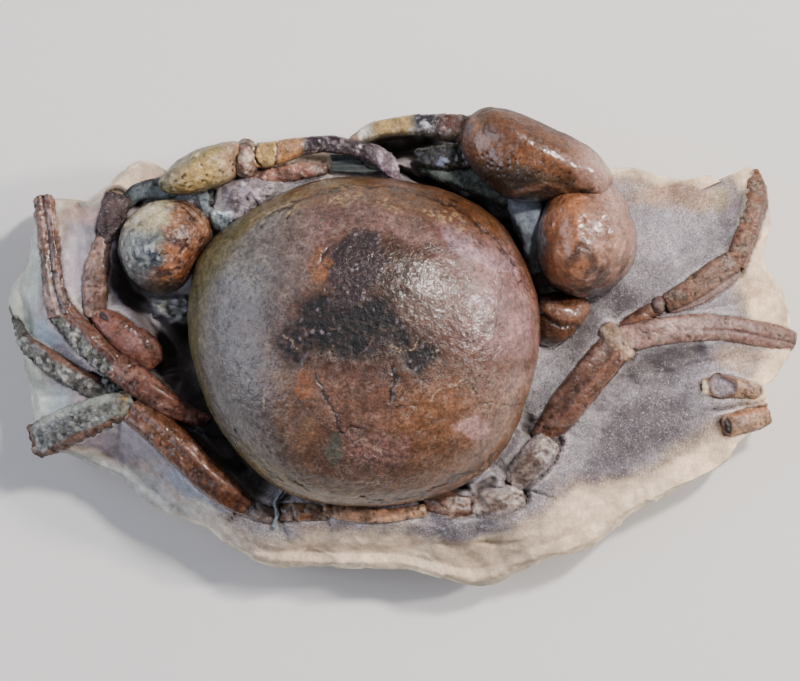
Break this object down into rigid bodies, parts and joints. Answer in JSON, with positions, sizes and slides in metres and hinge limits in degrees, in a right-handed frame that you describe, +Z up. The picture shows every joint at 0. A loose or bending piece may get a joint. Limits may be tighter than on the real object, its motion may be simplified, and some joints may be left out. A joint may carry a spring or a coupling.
{
  "type": "fossil crab",
  "caption": "Fossil crab lying back-up in a split stone concretion, claws folded in front and legs spread to both sides, to lay on a table or shelf.",
  "frame": {"origin": "middle of the specimen's outline on the plane that the stone rests on", "axes": "+Z up, out of the face that shows the crab; +X along the stone towards the crab's right; +Y towards the claws"},
  "size_m": [0.1978, 0.119, 0.059],
  "materials": {
    "matrix_stone": "matt chiselled sandstone, cream rind at the rim",
    "carapace_shell": "glossy mineralised shell with a black rough band",
    "brown_shell": "glossy orange-brown mineralised shell",
    "mottled_shell": "rough grey-green and orange mineralised shell",
    "tan_shell": "waxy yellow-ochre mineralised shell with dark pits",
    "leg_shell": "glossy red-brown mineralised shell",
    "rough_shell": "granular grey-brown mineralised shell"
  },
  "bodies": {
    "root": {"stone_slab": "matrix_stone", "carapace": "carapace_shell", "right_claw_wrist": "brown_shell", "right_claw_palm": "brown_shell", "right_claw_arm": "brown_shell", "right_claw_upper_finger": "tan_shell", "right_claw_lower_finger": "rough_shell", "left_claw_palm": "tan_shell", "left_claw_wrist": "mottled_shell", "left_claw_hinge": "tan_shell", "left_claw_upper_finger": "tan_shell", "left_claw_lower_finger": "tan_shell", "left_leg_1_shin": "leg_shell", "left_leg_1_foot": "rough_shell", "left_leg_1_thigh": "leg_shell", "left_leg_2_knee": "rough_shell", "left_leg_2_thigh": "leg_shell", "left_leg_2_foot": "leg_shell", "left_leg_4_thigh": "leg_shell", "left_leg_4_foot": "rough_shell", "left_leg_3_foot": "rough_shell", "tail_rim": "leg_shell", "left_hip_3": "rough_shell", "left_hip_4": "leg_shell", "right_hip_4": "leg_shell", "right_hip_3": "rough_shell", "right_hip_2": "rough_shell", "right_leg_2_knee": "rough_shell", "right_leg_2_thigh": "leg_shell", "right_leg_2_shin": "leg_shell", "right_leg_1_knuckle": "leg_shell", "right_leg_1_thigh": "leg_shell", "right_leg_1_shin": "leg_shell", "right_leg_1_foot": "leg_shell", "right_leg_3_stub": "rough_shell", "right_leg_4_stub": "leg_shell"}
  },
  "joints": []
}
